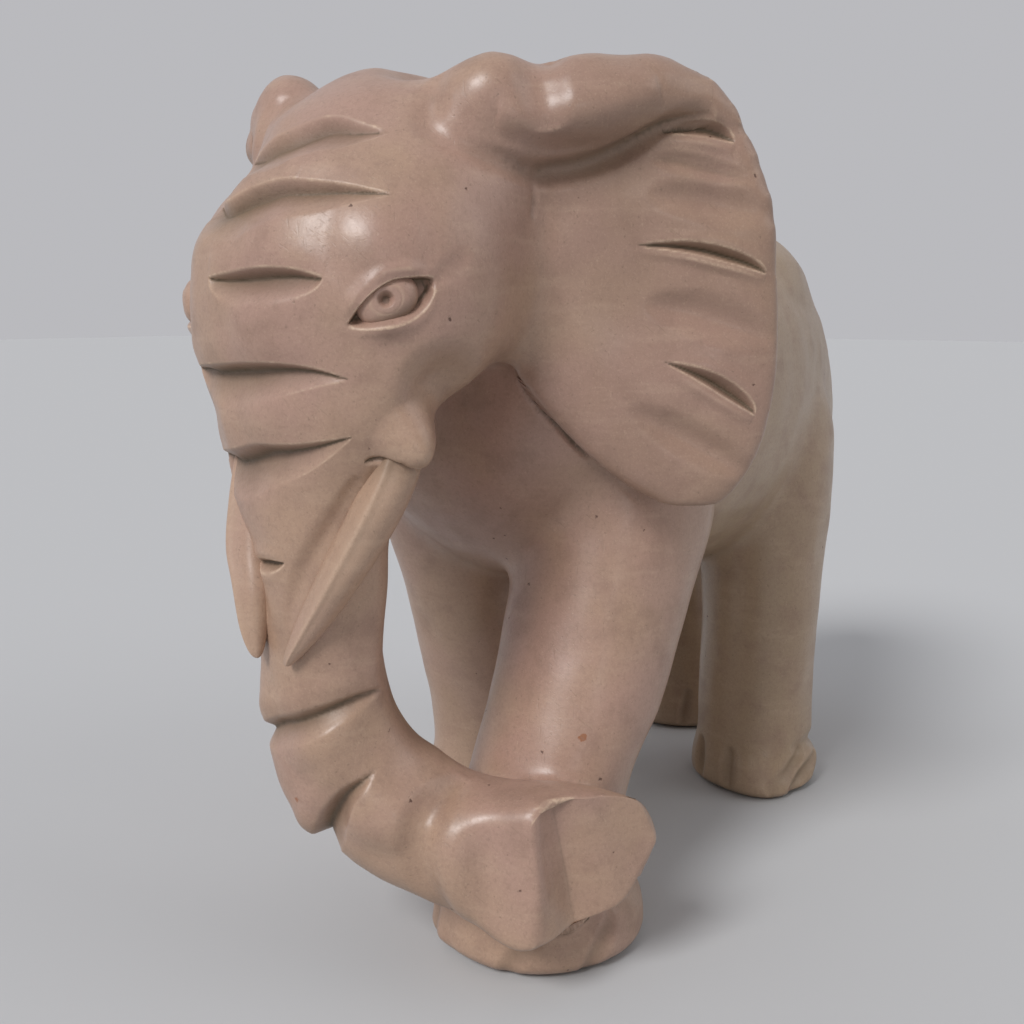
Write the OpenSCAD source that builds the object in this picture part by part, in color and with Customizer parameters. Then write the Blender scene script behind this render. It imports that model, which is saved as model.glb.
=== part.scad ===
// Carved stone elephant, striding, with its trunk curled down to its own left forefoot.
// Origin: the middle of the footprint on the table, with +Z up. The elephant faces -Y, its
// left side is +X. Every member is a loft: a row of rings, each ring set by a few plain sizes.

/* [Whole carving] */
// height from the soles to the top of the ears and crown
height = 148; // [134:1:162]
// width of the barrel of the body
body_w = 72; // [66:1:76]

/* [Head] */
// width of the skull across the temples
head_w = 58; // [54:1:62]
// diameter of the eyeballs
eye_d = 8.4; // [7:0.1:9.5]
// distance from the midline out to the middle of each eyeball
eye_x = 20.6; // [20:0.1:21.2]

/* [Ears] */
// reach of each ear out from its root
ear_w = 44; // [38:1:47]
// thickness of the ears at the middle
ear_t = 8; // [7:0.5:9.5]

/* [Trunk and tusks] */
// width of the trunk half way down
trunk_w = 22.4; // [20:0.2:24]
// greatest width of each tusk
tusk_d = 8; // [7:0.5:9]

/* [Legs and tail] */
// diameter of the legs at the knee
leg_d = 30.4; // [28:0.2:32]
// height of the foot below the groove round the ankle
foot_h = 13; // [11:0.5:15]
// width of the tail at its root
tail_w = 9; // [7:0.5:11]

/* [Hidden] */
// everything is laid out for a carving 148 high, then scaled to the height asked for
design_h = 148;
grow = height / design_h;
stone = [0.62, 0.52, 0.46];
pale = [0.70, 0.61, 0.54];

// ---- rings and lofts ----

// one value on the smooth curve between b and c, with a and d the neighbours
function curve(a, b, c, d, t) =
    0.5 * (2 * b + (c - a) * t + (2 * a - 5 * b + 4 * c - d) * t * t
        + (3 * b - a - 3 * c + d) * t * t * t);

// the rows of a table with smooth rows added, n to each gap
function fill(rows, n) = let (last = len(rows) - 1) [
    for (i = [0:last - 1])
        for (k = [0:n - 1])
            curve(rows[max(i - 1, 0)], rows[i], rows[i + 1], rows[min(i + 2, last)], k / n),
    rows[last]
];

// a sine or cosine pulled out towards the corners of a box by the power p
function full(v, p) = sign(v) * pow(abs(v), 2 / p);

// one ring: middle m, half sizes a along u and b along v, squareness p, n corners
// u, v and the way the rings are stacked follow the right hand rule
function ring(m, u, v, a, b, p, n) = [
    for (i = [0:n - 1])
        m + u * a * full(cos(360 * i / n), p) + v * b * full(sin(360 * i / n), p)
];

function unit(v) = v / norm(v);

// a closed skin over a row of rings with flat ends
module loft(rings) {
    n = len(rings[0]);
    last = len(rings) - 1;
    polyhedron(
        points = [for (r = rings) for (p = r) p],
        faces = concat(
            [[for (i = [0:n - 1]) i]],
            [
                for (k = [0:last - 1])
                    for (i = [0:n - 1])
                        for (half = [0, 1])
                            let (j = (i + 1) % n, a = k * n, b = a + n)
                            half == 0 ? [a + i, b + i, b + j] : [a + i, b + j, a + j]
            ],
            [[for (i = [n - 1:-1:0]) last * n + i]]
        )
    );
}

// level rings piled upwards, each row [height, middle x, middle y, half x, half y]
module pile(rows, p, n) {
    loft([
        for (r = rows)
            ring([r[1], r[2], r[0]], [1, 0, 0], [0, 1, 0], r[3], r[4], p, n)
    ]);
}

// the same thing on the other side of the elephant
module across() {
    mirror([1, 0, 0]) children();
}

// ---- torso ----

// [y, half width, top, belly]
torso_rows = [
    [-51, 0.56, 124, 84],
    [-47, 0.76, 131, 74],
    [-32, 0.93, 134, 61],
    [-8, 1, 132, 56],
    [18, 0.98, 131, 54],
    [42, 0.88, 129, 54],
    [60, 0.78, 121, 58],
    [76, 0.62, 110, 66],
    [86, 0.4, 99, 76],
    [89.5, 0.14, 92, 84]
];

module torso_solid() {
    loft([
        for (r = fill(torso_rows, 3))
            ring(
                [0, r[0], (r[2] + r[3]) / 2], [-1, 0, 0], [0, 0, 1],
                r[1] * body_w / 2, (r[2] - r[3]) / 2, 2.15, 32
            )
    ]);
}

module torso() {
    color(stone) torso_solid();
}

// ---- head ----

// [z, front, back, half width]
head_rows = [
    [76, -87.2, -67.5, 0.44],
    [84, -87.8, -67, 0.56],
    [91, -88.5, -66.5, 0.7],
    [96, -89, -64, 0.78],
    [100, -89.6, -56, 0.87],
    [105, -90.6, -47, 0.95],
    [113, -91.5, -42, 1],
    [124, -88.8, -40, 0.97],
    [133, -82.3, -40, 0.85],
    [140, -75.3, -42, 0.66],
    [145, -69, -46, 0.4],
    [147.5, -63.5, -52, 0.15]
];

module head_solid() {
    pile(
        [
            for (r = fill(head_rows, 3))
                [r[0], 0, (r[1] + r[2]) / 2, r[3] * head_w / 2, (r[2] - r[1]) / 2]
        ],
        2.2, 32
    );
}

module eyeball() {
    translate([eye_x, -82, 110]) sphere(d = eye_d, $fn = 32);
}

module head() {
    color(stone) difference() {
        head_solid();
        torso_solid();
        eyeball();
        across() eyeball();
    }
}

module eye_left() {
    color(pale) eyeball();
}

module eye_right() {
    color(pale) across() eyeball();
}

// ---- trunk ----

// [x, y, z, half width, half depth]
trunk_rows = [
    [0, -77.6, 79, 12.8, 10],
    [0, -76.2, 64, 11.8, 10],
    [-0.5, -75, 52, 11.6, 10.4],
    [1, -73.5, 41, 11.8, 10.8],
    [6, -71, 32, 11.2, 10.6],
    [15.5, -67.5, 26, 10.4, 10.2],
    [26, -64, 23.4, 11.8, 10.8],
    [36, -61, 23, 13.5, 11.5],
    [49, -55, 24.5, 12.5, 9.5]
];

// a ring of the trunk square to its run, from the row before and the row after
function trunk_ring(a, r, b) =
    let (
        along = unit([b[0] - a[0], b[1] - a[1], b[2] - a[2]]),
        front = unit([-0.3, -1, 0] - along * ([-0.3, -1, 0] * along)),
        side = cross(front, along)
    )
    ring([r[0], r[1], r[2]], side, front, r[3] * trunk_w / 22.4, r[4], 2.2, 24);

module trunk_solid() {
    rows = fill(trunk_rows, 4);
    last = len(rows) - 1;
    loft([
        for (i = [0:last])
            trunk_ring(rows[max(i - 1, 0)], rows[i], rows[min(i + 1, last)])
    ]);
}

// the slanting flat end of the trunk, facing out and forwards
module tip_cut() {
    translate([37.5, -68, 0]) rotate([0, 0, -25]) translate([0, -15, 0]) cube([25, 50, 60]);
}

// the tip rests against the leg and foot it curls round
module trunk() {
    color(stone) difference() {
        trunk_solid();
        tip_cut();
        head_solid();
        foreleg_left_solid();
        foot(fore_left, fore_d);
    }
}

// ---- ears ----

// [z, root edge, outer edge, thickness] with the edges measured along the ear
ear_rows = [
    [78.5, 0.55, 0.74, 0.35],
    [83, 0.36, 0.83, 0.7],
    [91, 0.16, 0.91, 0.9],
    [102, -0.04, 0.94, 1],
    [114, -0.12, 0.93, 1],
    [126, -0.14, 0.88, 1],
    [135, -0.16, 0.8, 0.9],
    [142, -0.14, 0.7, 0.8],
    [145, -0.1, 0.6, 0.5]
];

// the fat roll along the top: [distance out, how far in front, z, half thick, half high]
roll_rows = [
    [-13.5, 5, 140, 1.5, 1.5],
    [-11.5, 5.5, 140.3, 5, 5],
    [-5, 6, 140.5, 7.3, 7.4],
    [3, 5, 140, 7, 7.5],
    [12, 4, 140.5, 6.5, 7.4],
    [22, 3, 142.5, 5, 5.6],
    [30, 1.5, 142, 3.4, 4],
    [34, 0.5, 139, 1.5, 2]
];

// the ear sweeps outwards and back from its root on the side of the skull
ear_root = [22, -54, 0];
ear_run = [0.8, 0.6, 0];
ear_front = [0.6, -0.8, 0];

module ear_solid() {
    loft([
        for (r = fill(ear_rows, 3))
            ring(
                ear_root + [0, 0, r[0]] + ear_run * ear_w * (r[1] + r[2]) / 2,
                ear_run, -ear_front,
                ear_w * (r[2] - r[1]) / 2, ear_t * r[3] / 2, 2.3, 24
            )
    ]);
    loft([
        for (r = fill(roll_rows, 3))
            ring(
                ear_root + ear_run * r[0] * ear_w / 44 + ear_front * r[1] + [0, 0, r[2]],
                -ear_front, [0, 0, 1], r[3], r[4], 2, 20
            )
    ]);
}

module ear_left() {
    color(stone) difference() {
        ear_solid();
        head_solid();
        torso_solid();
    }
}

module ear_right() {
    color(stone) difference() {
        across() ear_solid();
        head_solid();
        torso_solid();
    }
}

// ---- tusks ----

// [z, x, y, thickness] from the point up
tusk_rows = [
    [55.5, 3.6, -86.8, 0.12],
    [59, 5, -86.4, 0.4],
    [66, 8, -84.9, 0.7],
    [75, 12, -82, 0.9],
    [84, 15.6, -78.8, 1],
    [92, 17.6, -75.6, 1]
];

module tusk_solid() {
    pile(
        [
            for (r = fill(tusk_rows, 3))
                [r[0], r[1], r[2], r[3] * tusk_d / 2, r[3] * tusk_d / 2]
        ],
        2, 16
    );
}

module tusk_left() {
    color(pale) difference() {
        tusk_solid();
        head_solid();
        trunk_solid();
    }
}

module tusk_right() {
    color(pale) difference() {
        across() tusk_solid();
        head_solid();
        trunk_solid();
    }
}

// ---- legs ----

// [height, middle x, middle y, half x, half y], leaning in to the midline at the top
function leg_rows(foot, knee, top) = [
    [foot_h, foot[0], foot[1], 0.5, 0.5],
    [24, foot[0] * 0.8 + knee[0] * 0.2, foot[1] * 0.8 + knee[1] * 0.2, 0.49, 0.49],
    [40, knee[0], knee[1], 0.5, 0.5],
    [58, knee[0] * 0.45 + top[0] * 0.55, knee[1] * 0.45 + top[1] * 0.55, 0.53, 0.56],
    [76, top[0], top[1], 0.56, 0.64],
    [94, top[0] - 3 * sign(top[0]), top[1], 0.5, 0.6],
    [106, top[0] - 9 * sign(top[0]), top[1], 0.3, 0.4]
];

module leg(foot, knee, top, thick) {
    pile(
        [
            for (r = fill(leg_rows(foot, knee, top), 3))
                [r[0], r[1], r[2], r[3] * leg_d * thick, r[4] * leg_d * thick]
        ],
        2.15, 28
    );
}

// where each foot stands, in a walking stride
fore_left = [20, -45];
fore_right = [-21.5, -2];
hind_left = [19.6, 43];
hind_right = [-16.5, 70];
fore_d = 35;
hind_d = 28.2;

module foreleg_left_solid() {
    leg(fore_left, [21, -36], [20, -20], 1);
}

module foreleg_left() {
    color(stone) difference() {
        foreleg_left_solid();
        torso_solid();
    }
}

module foreleg_right() {
    color(stone) difference() {
        leg(fore_right, [-21, -8], [-20, -18], 1);
        torso_solid();
    }
}

module hindleg_left() {
    color(stone) difference() {
        leg(hind_left, [20.8, 42], [19.5, 45], 0.93);
        torso_solid();
    }
}

module hindleg_right() {
    color(stone) difference() {
        leg(hind_right, [-17.5, 65], [-16, 57], 0.93);
        torso_solid();
    }
}

// ---- feet ----

// [height, half width]
foot_rows = [[0, 0.5], [1.2, 0.535], [5, 0.54], [9.5, 0.51], [foot_h, 0.47]];

module foot(at, wide) {
    pile(
        [for (r = fill(foot_rows, 2)) [r[0], at[0], at[1], r[1] * wide, r[1] * wide]],
        2, 28
    );
}

module forefoot_left() {
    color(stone) foot(fore_left, fore_d);
}

module forefoot_right() {
    color(stone) foot(fore_right, fore_d * 0.94);
}

module hindfoot_left() {
    color(stone) foot(hind_left, hind_d);
}

module hindfoot_right() {
    color(stone) foot(hind_right, hind_d);
}

// ---- tail ----

tail_rows = [
    [60, 1.5, 71, 0.3, 2.5],
    [67, 1, 79, 0.5, 3.5],
    [77, 0.5, 86, 0.42, 3.5],
    [88, 0, 88.8, 0.42, 3.2],
    [98, 0, 85.5, 0.5, 3.8],
    [107, 0, 77, 0.5, 4]
];

module tail() {
    color(stone) difference() {
        pile(
            [
                for (r = fill(tail_rows, 3))
                    [r[0], r[1], r[2], r[3] * tail_w, r[4]]
            ],
            2, 16
        );
        torso_solid();
    }
}

module part() {
    torso();
    head();
    trunk();
    ear_left();
    ear_right();
    tusk_left();
    tusk_right();
    eye_left();
    eye_right();
    foreleg_left();
    foreleg_right();
    hindleg_left();
    hindleg_right();
    forefoot_left();
    forefoot_right();
    hindfoot_left();
    hindfoot_right();
    tail();
}

scale(grow) part();
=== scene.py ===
# A striding elephant carved from one block of soapstone and polished by hand.
import math

import bpy
import numpy as np
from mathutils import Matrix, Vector
from mathutils.bvhtree import BVHTree


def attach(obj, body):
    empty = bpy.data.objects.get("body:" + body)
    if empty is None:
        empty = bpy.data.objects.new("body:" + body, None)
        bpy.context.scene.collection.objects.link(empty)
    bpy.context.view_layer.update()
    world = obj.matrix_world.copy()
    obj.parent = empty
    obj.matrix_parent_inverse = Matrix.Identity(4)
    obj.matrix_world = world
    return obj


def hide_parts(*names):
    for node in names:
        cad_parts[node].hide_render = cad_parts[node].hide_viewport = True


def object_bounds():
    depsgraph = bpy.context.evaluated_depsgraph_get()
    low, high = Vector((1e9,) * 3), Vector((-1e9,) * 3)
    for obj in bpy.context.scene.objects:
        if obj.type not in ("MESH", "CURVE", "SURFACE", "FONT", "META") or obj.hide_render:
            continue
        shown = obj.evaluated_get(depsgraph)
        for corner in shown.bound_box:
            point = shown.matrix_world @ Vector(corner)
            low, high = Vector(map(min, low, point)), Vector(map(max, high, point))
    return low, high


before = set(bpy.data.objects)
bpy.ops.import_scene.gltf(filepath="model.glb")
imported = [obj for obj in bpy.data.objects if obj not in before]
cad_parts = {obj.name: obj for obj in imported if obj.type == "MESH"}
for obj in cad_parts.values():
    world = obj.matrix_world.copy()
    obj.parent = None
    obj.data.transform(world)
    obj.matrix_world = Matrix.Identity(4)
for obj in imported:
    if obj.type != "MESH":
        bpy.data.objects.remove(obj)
cad_low, cad_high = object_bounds()
SPAN = cad_high - cad_low
MM = SPAN.z / 148.2  # a millimetre of the carving, in metres
BLOCK = [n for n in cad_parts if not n.startswith(("eye", "tusk"))]


# ---- bench tools ----


def pick(*pieces):
    """Only these pieces are selected, the last one active."""
    bpy.ops.object.select_all(action="DESELECT")
    for piece in pieces:
        piece.select_set(True)
        bpy.context.view_layer.objects.active = piece


def edit(piece, how="FACE"):
    pick(piece)
    bpy.ops.object.mode_set(mode="EDIT")
    bpy.ops.mesh.select_mode(type=how)


def done():
    bpy.ops.object.mode_set(mode="OBJECT")


def finish_with(piece, kind, **settings):
    """Adds one modifier and applies it."""
    pick(piece)
    tool = piece.modifiers.new(kind.lower(), kind)
    for name, value in settings.items():
        setattr(tool, name, value)
    bpy.ops.object.modifier_apply(modifier=tool.name)


def new_piece(name, mesh):
    piece = bpy.data.objects.new(name, mesh)
    bpy.context.scene.collection.objects.link(piece)
    return piece


def points_of(mesh):
    co = np.empty(len(mesh.vertices) * 3)
    mesh.vertices.foreach_get("co", co)
    return co.reshape(-1, 3)


def normals_of(mesh):
    no = np.empty(len(mesh.vertices) * 3, np.float32)
    mesh.vertex_normals.foreach_get("vector", no)
    return no.reshape(-1, 3).astype(float)


def smoothstep(low, high, value):
    t = np.clip((value - low) / (high - low), 0, 1)
    return t * t * (3 - 2 * t)


def unit(v):
    v = np.array(v, float)
    return v / np.linalg.norm(v)


# ---- the rough block ----

TREES = {}
for n in BLOCK:
    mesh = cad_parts[n].data
    TREES[n] = BVHTree.FromPolygons([v.co for v in mesh.vertices], [p.vertices for p in mesh.polygons])
FAR = 14  # how far from a member a junction can still be felt, in millimetres
SWELL = 0.45  # how much every member is fattened before they are fused
TAKEN_BACK = 0.3  # how much of that comes off again before the carving
SKIN = 0.95  # the size of the fused skin's faces


def copy_of(node):
    """A copy of a member's mesh with its loose triangles welded together."""
    piece = new_piece("rough." + node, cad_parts[node].data.copy())
    edit(piece)
    bpy.ops.mesh.select_all(action="SELECT")
    bpy.ops.mesh.remove_doubles(threshold=0.00001)
    done()
    return piece


def rough_block():
    """All the members but the tusks, swelled until they overlap and fused in one skin."""
    members = [copy_of(n) for n in BLOCK] + [copy_of("eye_left"), copy_of("eye_right")]
    for x in (24.5, -24.5):
        # stone left standing between head, ear and roll
        bpy.ops.mesh.primitive_ico_sphere_add(subdivisions=3, radius=4.8 * MM, location=(0, 0, 0))
        members.append(bpy.context.object)
        members[-1].location = Vector((x, -60.5, 130.5)) * MM
        pick(members[-1])
        bpy.ops.object.transform_apply()
    pick(*members)
    bpy.ops.object.join()
    block = bpy.context.view_layer.objects.active
    block.name = "block"
    finish_with(block, "DISPLACE", strength=SWELL * MM, mid_level=0)
    finish_with(block, "REMESH", mode="VOXEL", voxel_size=SKIN * MM)
    return block


def nearness(points):
    """How far each of the points is from every member, in millimetres."""
    reach = FAR * MM
    near = np.empty((len(BLOCK), len(points)))
    for i, n in enumerate(BLOCK):
        find = TREES[n].find_nearest
        near[i] = [find(p, reach)[3] or reach for p in points]
    return near / MM


def soften(block, weights, rounds, factor=0.5):
    """Rubs the block down where the weights are high."""
    group = block.vertex_groups.new(name="soft")
    for step in range(1, 11):
        chosen = np.nonzero(np.round(weights * 10) == step)[0]
        if len(chosen):
            group.add(chosen.tolist(), step / 10, "REPLACE")
    finish_with(block, "SMOOTH", factor=factor, iterations=rounds, vertex_group="soft")
    block.vertex_groups.clear()


def corners(mesh):
    """The points at the faces' corners, and where each face's corners start."""
    corner = np.empty(len(mesh.loops), np.int64)
    mesh.loops.foreach_get("vertex_index", corner)
    start = np.empty(len(mesh.polygons), np.int64)
    mesh.polygons.foreach_get("loop_start", start)
    return corner, start


def label(block, near):
    """Marks each face with the member it lies nearest to, evening out ragged borders."""
    mesh = block.data
    corner, start = corners(mesh)
    count = np.diff(np.append(start, len(corner)))
    face = np.repeat(np.arange(len(start)), count)
    owner = near.argmin(0)[corner[start]]
    for _ in range(8):
        votes = np.zeros((len(mesh.vertices), len(BLOCK)))
        np.add.at(votes, (corner, owner[face]), 1)
        owner = np.add.reduceat(votes[corner], start).argmax(1)
    for n in BLOCK:
        mesh.materials.append(None)
    mesh.polygons.foreach_set("material_index", owner.astype(np.int32))
    mesh.update()


def soften_junctions(block, near):
    """Fillets where members meet: wide between head and ears, tight where one member
    only lies against another."""
    order = near.argsort(axis=0)
    names = np.array(BLOCK)
    one, two = names[order[0]], names[order[1]]
    gap = near[order[1], np.arange(near.shape[1])] - near[order[0], np.arange(near.shape[1])]

    def between(*pairs):
        found = np.zeros(len(one), bool)
        for a, b in pairs:
            ab = np.char.startswith(one, a) & np.char.startswith(two, b)
            ba = np.char.startswith(one, b) & np.char.startswith(two, a)
            found |= ab | ba
        return found

    soften(block, np.ones(len(gap)), 12)
    tight = between(("ear", "torso"), ("ear", "fore"), ("trunk", "fore"), ("hind", "fore"))
    weight = (1 - smoothstep(3, 12, gap)) * np.where(tight, 0.1, 1)
    soften(block, weight, 45)
    soften(block, (1 - smoothstep(4, 14, gap)) * between(("head", "ear")), 120)


# ---- carving moves ----


def curve(route, every=0.8):
    """A smooth line through the points of a route."""
    p = np.array(route, float)
    p = np.vstack([2 * p[0] - p[1], p, 2 * p[-1] - p[-2]])
    line = []
    for a, b, c, d in zip(p[:-3], p[1:-2], p[2:-1], p[3:]):
        steps = max(2, int(np.linalg.norm(c - b) / every))
        second, third = 2 * a - 5 * b + 4 * c - d, 3 * b - a - 3 * c + d
        for t in np.arange(steps) / steps:
            line.append(0.5 * (2 * b + (c - a) * t + second * t**2 + third * t**3))
    return np.array(line + [p[-2]])


class Stone:
    """The block's points and outward directions, in millimetres, and the cuts made in it."""

    def __init__(self, block):
        self.block = block
        self.at = points_of(block.data) / MM
        self.out = normals_of(block.data)
        corner, start = corners(block.data)
        owner = np.empty(len(start), np.int32)
        block.data.polygons.foreach_get("material_index", owner)
        self.owner = np.empty(len(self.at), np.int32)
        self.owner[corner] = np.repeat(owner, np.diff(np.append(start, len(corner))))
        # painted shade in the hollows of cuts, grooves and eyes, laid into the colour later
        self.hollow_shade = np.zeros(len(self.at))

    def settle(self):
        """Writes the points back to the mesh and reads its directions again."""
        self.block.data.vertices.foreach_set("co", (self.at * MM).ravel())
        self.block.data.update()
        self.out = normals_of(self.block.data)

    def around(self, low, high, member=""):
        """The points in a box, of all the stone or of members whose names have a word."""
        inside = ((self.at > np.array(low)) & (self.at < np.array(high))).all(axis=1)
        return np.nonzero(inside & np.array([member in n for n in BLOCK])[self.owner])[0]

    def beside(self, route, margin, member=""):
        """The points near a route over the surface: which they are, how far along it they
        lie from 0 to 1, and the step to them from it, flat on the surface."""
        route = curve(route)
        mine = self.around(route.min(0) - margin, route.max(0) + margin, member)
        at, out = self.at[mine], self.out[mine]
        runs = np.linalg.norm(np.diff(route, axis=0), axis=1)
        best, place = np.full(len(mine), 1e9), np.zeros(len(mine))
        step = np.zeros((len(mine), 3))
        walked = 0.0
        for a, b, run in zip(route[:-1], route[1:], runs):
            t = np.clip((at - a) @ (b - a) / run**2, 0, 1)
            away = at - (a + t[:, None] * (b - a))
            far = np.linalg.norm(away, axis=1)
            closer = far < best
            best[closer] = far[closer]
            place[closer] = (walked + t[closer] * run) / runs.sum()
            step[closer] = away[closer]
            walked += run
        rise = (step * out).sum(1)
        flat = step - out * rise[:, None]
        same_side = 1 - smoothstep(2.5, 4.5, np.abs(rise))
        return mine, place, flat, same_side

    def push(self, mine, amount, way=None):
        way = self.out[mine] if way is None else unit(way)
        self.at[mine] += way * np.asarray(amount)[:, None]

    def puff(self, centre, radius, high, way=None):
        """A soft swelling, or a soft hollow if high is negative."""
        centre, radius = np.array(centre, float), np.array(radius, float)
        mine = self.around(centre - radius, centre + radius)
        far = np.linalg.norm((self.at[mine] - centre) / radius, axis=1)
        self.push(mine, high * np.clip(1 - far * far, 0, 1) ** 2, way)

    def gouge(self, route, wide, deep, up=(0, 0, 1), lip=0.3, steep=0.34, full=0.8, skew=1.0):
        """A cut with a steep wall hanging from the route and a floor rising out of it
        below, widest at the middle and closing to a point at both ends."""
        mine, place, flat, same_side = self.beside(route, 2.2 * wide)
        out = self.out[mine]
        up = np.array(up, float)
        up = up - out * (out @ up)[:, None]
        up /= np.linalg.norm(up, axis=1)[:, None] + 1e-9
        below = -(flat * up).sum(1)
        place = place**skew
        taper = np.clip(4 * place * (1 - place), 0, 1) ** full
        t = below / (wide * taper + 0.05)
        rising = np.clip((1 - t) / (1 - steep), 0, 1)
        cut = smoothstep(-0.08, steep, t) * rising
        bulge = np.exp(-(((below + 0.45 * wide) / (0.4 * wide)) ** 2))
        under = np.exp(-(((below - 1.35 * wide * taper) / (0.45 * wide)) ** 2))
        swell = lip * (bulge + 0.6 * under)
        self.push(mine, (swell - deep * cut) * taper * same_side)
        # painted shade on the cut's wall and floor
        cut_shade = cut**1.5 * np.sqrt(taper) * same_side * min(deep / 2, 1)
        self.hollow_shade[mine] = np.maximum(self.hollow_shade[mine], cut_shade)

    def rub(self, places, rounds):
        """Rubs the stone smooth round some places."""
        self.settle()
        soften(self.block, points_near(self.block, places), rounds)
        self.at = points_of(self.block.data) / MM
        self.out = normals_of(self.block.data)

    def groove(
        self, route, wide, deep, soft=False, full=0.5, sharp=1.7, member="", facing=None, hollow_shade=0
    ):
        """A groove along a route: a crease, or a soft valley; only in stone that looks one
        way, if that way is given."""
        mine, place, flat, same_side = self.beside(route, wide, member)
        taper = np.clip(4 * place * (1 - place), 0, 1) ** full
        x = np.clip(1 - np.linalg.norm(flat, axis=1) / (wide / 2 * (0.4 + 0.6 * taper)), 0, 1)
        cut = x * x * (3 - 2 * x) if soft else x**sharp
        cut *= taper * same_side
        if facing is not None:
            cut *= smoothstep(0.25, 0.6, self.out[mine] @ unit(facing))
        self.push(mine, -deep * cut)
        # painted shade in the groove, where any is asked for
        self.hollow_shade[mine] = np.maximum(self.hollow_shade[mine], hollow_shade * cut)

    def shave(self, point, face, centre, reach, soft=0.3, member="trunk"):
        """Planes off what stands out of a flat face, within reach of a place."""
        face = unit(face)
        centre = np.array(centre, float)
        mine = self.around(centre - reach, centre + reach, member)
        over = (self.at[mine] - np.array(point, float)) @ face
        eased = (np.clip(over, -soft, soft) + soft) ** 2 / (4 * soft)
        over = np.where(over > soft, over, eased)
        over *= 1 - smoothstep(0.75, 1, np.linalg.norm(self.at[mine] - centre, axis=1) / reach)
        self.at[mine] -= face * over[:, None]


# ---- where the carver cut, in millimetres in the elephant's own frame ----


def across(v):
    """The same place on the other side of the elephant."""
    return [-v[0], v[1], v[2]]


def same(v):
    return v


def both(route):
    return route, [across(p) for p in route]


# steep edge of each cut, its width and its depth, from the crown down to the trunk, then
# how full it is, where its widest place lies (under 1: to the left) and how steep its wall is
BROW_CUTS = [
    ([[-13, -76.5, 132.6], [-8, -79.3, 134], [-3, -79.8, 135.4], [2, -78.6, 136.8],
      [7, -77.6, 137.2], [11, -77.2, 136.3], [16, -76, 134.6]], 8.6, 2.0, 0.8, 1, 0.2),
    ([[-17, -78.4, 125], [-10.5, -84.6, 125.4], [-6, -87.2, 125.5], [-1.6, -87, 126.8],
      [3, -86.5, 127.5], [8, -86, 127.7], [13.5, -84.4, 127.2], [21, -80.7, 125.6]],
     6.8, 2.1, 0.9, 0.9, 0.2),
    ([[-7, -90.6, 114.6], [-2, -91.1, 115.1], [3, -91.1, 115.6], [8, -90.4, 115.6],
      [11.5, -89.6, 115.2], [14.8, -88.4, 114.3]], 4.9, 2.1, 0.5, 1, 0.24),
    ([[-19, -83.5, 101], [-15, -86.5, 101.4], [-10.3, -88.6, 101.6], [-4.7, -89.7, 101.9],
      [1.8, -89.9, 102.3], [7, -89.5, 102.3], [12.5, -88, 101.7], [17, -86, 100.4]],
     6.4, 2.6, 0.9, 0.75, 0.27),
    ([[-16, -81, 87.5], [-12, -84.5, 88], [-7.1, -87.5, 88.6], [-0.8, -88.3, 90],
      [4.8, -88.2, 90.4], [9.1, -87.5, 90.8], [16.4, -84.8, 92.2]], 7.6, 3.0, 1.0, 0.65, 0.3),
    ([[-6.5, -85, 71.2], [-2, -86.8, 72.2], [3.4, -87.2, 72.4]], 2.2, 1.7, 0.8, 1, 0.4),
]
# lower edge of each cut near the rim of an ear, its width and its depth
EAR_CUTS = [
    ([[41, -44.2, 136], [45.8, -39.7, 135.8], [49.6, -35.9, 134.8]], 2.4, 1.4),
    ([[38.5, -46, 119.6], [45, -41, 118.6], [50, -36.4, 117], [54, -32.5, 115.4]], 1.9, 1.6),
    ([[42.5, -43.4, 102], [47, -40, 99], [51, -36.4, 95.8], [53.6, -33.6, 93.6]], 2.1, 1.7),
]
# soft flutes between them: middle line, width, depth
FLUTES = [
    ([[40, -45, 132.4], [43.5, -42.3, 132], [47, -39.4, 131], [53, -34.5, 129.4]], 4.5, 0.9),
    ([[40, -45, 127], [46, -40, 126.4], [50, -36, 125.2], [55, -31, 124]], 8, 1.2),
    ([[40, -45, 111], [46, -40, 109.5], [50, -36, 107.6], [55.5, -31, 105]], 9, 1.5),
    ([[38, -46, 95], [44, -42, 91], [49, -38, 87.5], [54, -33.5, 83.5]], 8, 1.3),
]
# soft ridges of the forehead and swellings of the trunk: place, reach, height, direction
PUFFS = [
    ([5, -74, 141.5], 10, 0.6, [0, -0.3, 1]),
    ([5, -83, 131], 8, 0.6, None),
    ([7, -88.6, 121.5], 9, 0.7, None),
    ([20.5, -83.4, 119.4], 8, 1.0, None),
    ([-20.5, -83.4, 119.4], 7, 0.4, None),
    ([5, -91.3, 107.5], 9, 0.6, None),
    ([4, -89.3, 95], 9, 0.7, None),
    ([6, -84, 57], 7, 0.4, None),
    ([6, -83, 43.5], 9, 0.9, None),
    ([14.5, -79, 31.5], 8, 1.3, None),
]


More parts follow.
